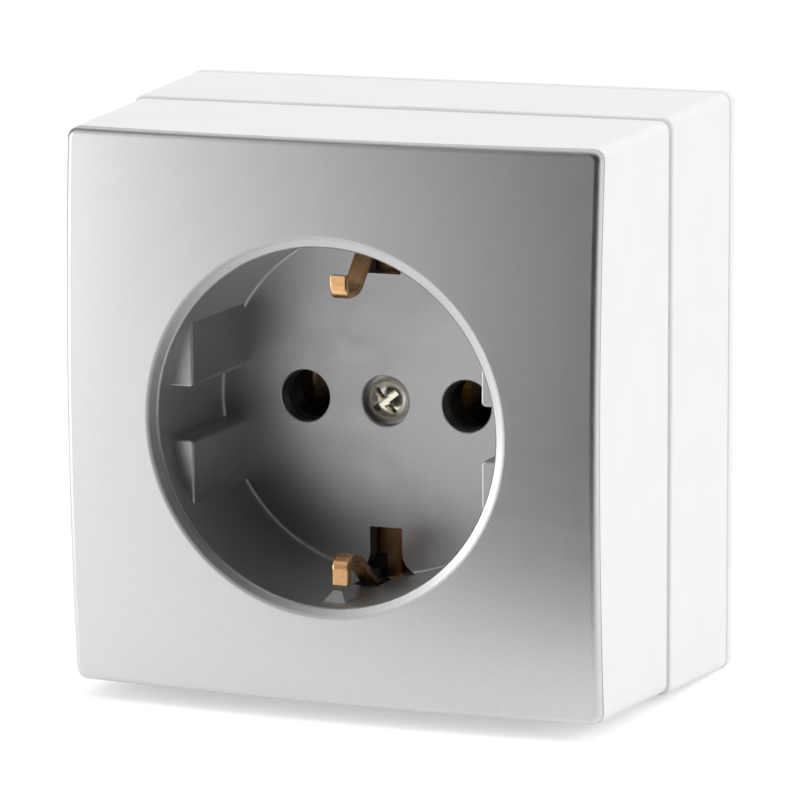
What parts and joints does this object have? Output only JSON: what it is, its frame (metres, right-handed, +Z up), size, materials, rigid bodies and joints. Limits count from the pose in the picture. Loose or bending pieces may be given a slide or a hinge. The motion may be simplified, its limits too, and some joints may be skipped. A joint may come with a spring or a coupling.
{
  "type": "type f wall socket",
  "caption": "Surface-mounted type F wall socket: slightly domed square plate with a round recessed plug well, pin holes, guide ribs and earth clips, on a deep white box.",
  "frame": {"origin": "under the middle of the unit, at the height of its bottom face", "axes": "+X to the right seen from the front, +Y into the wall, +Z up"},
  "size_m": [0.065, 0.0406, 0.0651],
  "materials": {
    "silver_plastic": "satin metallic lacquer with fine flake",
    "white_plastic": "semi-gloss",
    "black_plastic": "matt thermoset",
    "bronze": "bright rolled bronze",
    "brass": "bright",
    "nickel_screw": "satin nickel",
    "steel": "zinc plated"
  },
  "bodies": {
    "root": {"cover_plate": "silver_plastic", "front_frame": "white_plastic", "rear_housing": "white_plastic", "base_plate": "white_plastic", "contact_block": "black_plastic", "contact_cap": "black_plastic", "support_plate": "steel", "centre_nut": "brass", "live_clamp": "brass", "neutral_clamp": "brass", "earth_clamp": "brass", "earth_bow": "bronze", "live_contact": "brass", "neutral_contact": "brass", "centre_screw": "nickel_screw", "support_screw_left": "steel", "support_screw_right": "steel", "cap_screw_left": "steel", "cap_screw_right": "steel", "live_terminal_screw": "steel", "neutral_terminal_screw": "steel", "earth_terminal_screw": "steel", "base_screw_1": "steel", "base_screw_2": "steel", "base_screw_3": "steel", "base_screw_4": "steel"}
  },
  "joints": []
}
